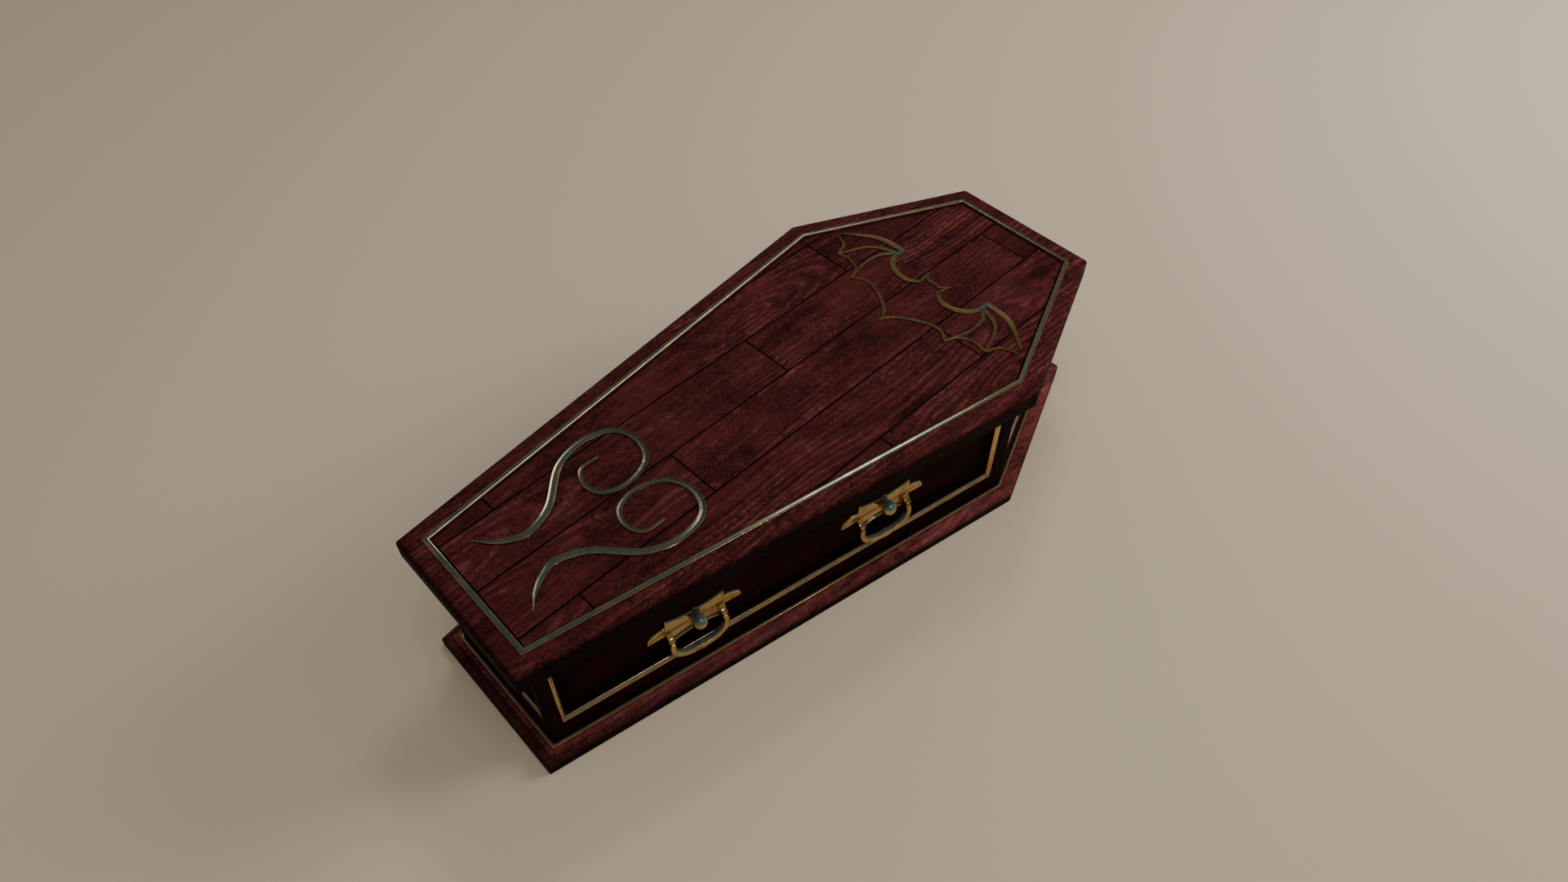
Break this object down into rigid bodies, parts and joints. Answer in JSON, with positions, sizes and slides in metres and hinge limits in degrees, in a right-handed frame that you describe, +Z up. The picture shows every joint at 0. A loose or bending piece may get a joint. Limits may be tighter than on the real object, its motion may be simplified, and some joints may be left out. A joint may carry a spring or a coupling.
{
  "type": "coffin",
  "caption": "Six-sided tapered wooden coffin with a flat lift-off lid, recessed wall panels, brass beading, scroll and bat inlays, and swinging bail handles on the long sides.",
  "frame": {"origin": "on the floor, under the middle of the bounding box", "axes": "+X towards the head end along the length, +Z up, -Y the left side"},
  "size_m": [2.067, 0.9728, 0.4888],
  "materials": {
    "mahogany": "dark red polished mahogany with darker stains",
    "brass": "polished brass with some dark patina in the corners"
  },
  "bodies": {
    "coffin": {"plinth": "mahogany", "lid_board": "mahogany", "wall_left_side": "mahogany", "wall_left_shoulder": "mahogany", "wall_head": "mahogany", "wall_right_shoulder": "mahogany", "wall_right_side": "mahogany", "wall_foot": "mahogany", "lid_plank_01": "mahogany", "lid_plank_02": "mahogany", "lid_plank_03": "mahogany", "lid_plank_04": "mahogany", "lid_plank_05": "mahogany", "lid_plank_06": "mahogany", "lid_plank_07": "mahogany", "lid_plank_08": "mahogany", "lid_plank_09": "mahogany", "lid_plank_10": "mahogany", "lid_plank_11": "mahogany", "lid_plank_12": "mahogany", "lid_plank_13": "mahogany", "lid_plank_14": "mahogany", "plinth_bead": "brass", "lid_bead": "brass", "scroll_left": "brass", "scroll_right": "brass", "bat": "brass", "frame_left_side": "brass", "frame_left_shoulder": "brass", "frame_head": "brass", "frame_right_shoulder": "brass", "frame_right_side": "brass", "frame_foot": "brass", "plate_left_foot": "brass", "plate_left_head": "brass", "plate_right_foot": "brass", "plate_right_head": "brass", "ball_left_foot": "brass", "ball_left_head": "brass", "ball_right_foot": "brass", "ball_right_head": "brass"},
    "bail_left_foot": {"bail_left_foot": "brass"},
    "bail_left_head": {"bail_left_head": "brass"},
    "bail_right_foot": {"bail_right_foot": "brass"},
    "bail_right_head": {"bail_right_head": "brass"}
  },
  "joints": [
    {"name": "bail_left_foot_swing", "type": "hinge", "parent": "coffin", "child": "bail_left_foot", "pos_m": [-0.54794, -0.26734, 0.18], "axis": [-0.9887, 0.1502, 0], "range_deg": [0, 85]},
    {"name": "bail_left_head_swing", "type": "hinge", "parent": "coffin", "child": "bail_left_head", "pos_m": [0.04921, -0.35804, 0.208], "axis": [-0.9887, 0.1502, 0], "range_deg": [0, 85]},
    {"name": "bail_right_foot_swing", "type": "hinge", "parent": "coffin", "child": "bail_right_foot", "pos_m": [-0.54794, 0.26734, 0.18], "axis": [0.9887, 0.1502, 0], "range_deg": [0, 85]},
    {"name": "bail_right_head_swing", "type": "hinge", "parent": "coffin", "child": "bail_right_head", "pos_m": [0.04921, 0.35804, 0.208], "axis": [0.9887, 0.1502, 0], "range_deg": [0, 85]}
  ]
}
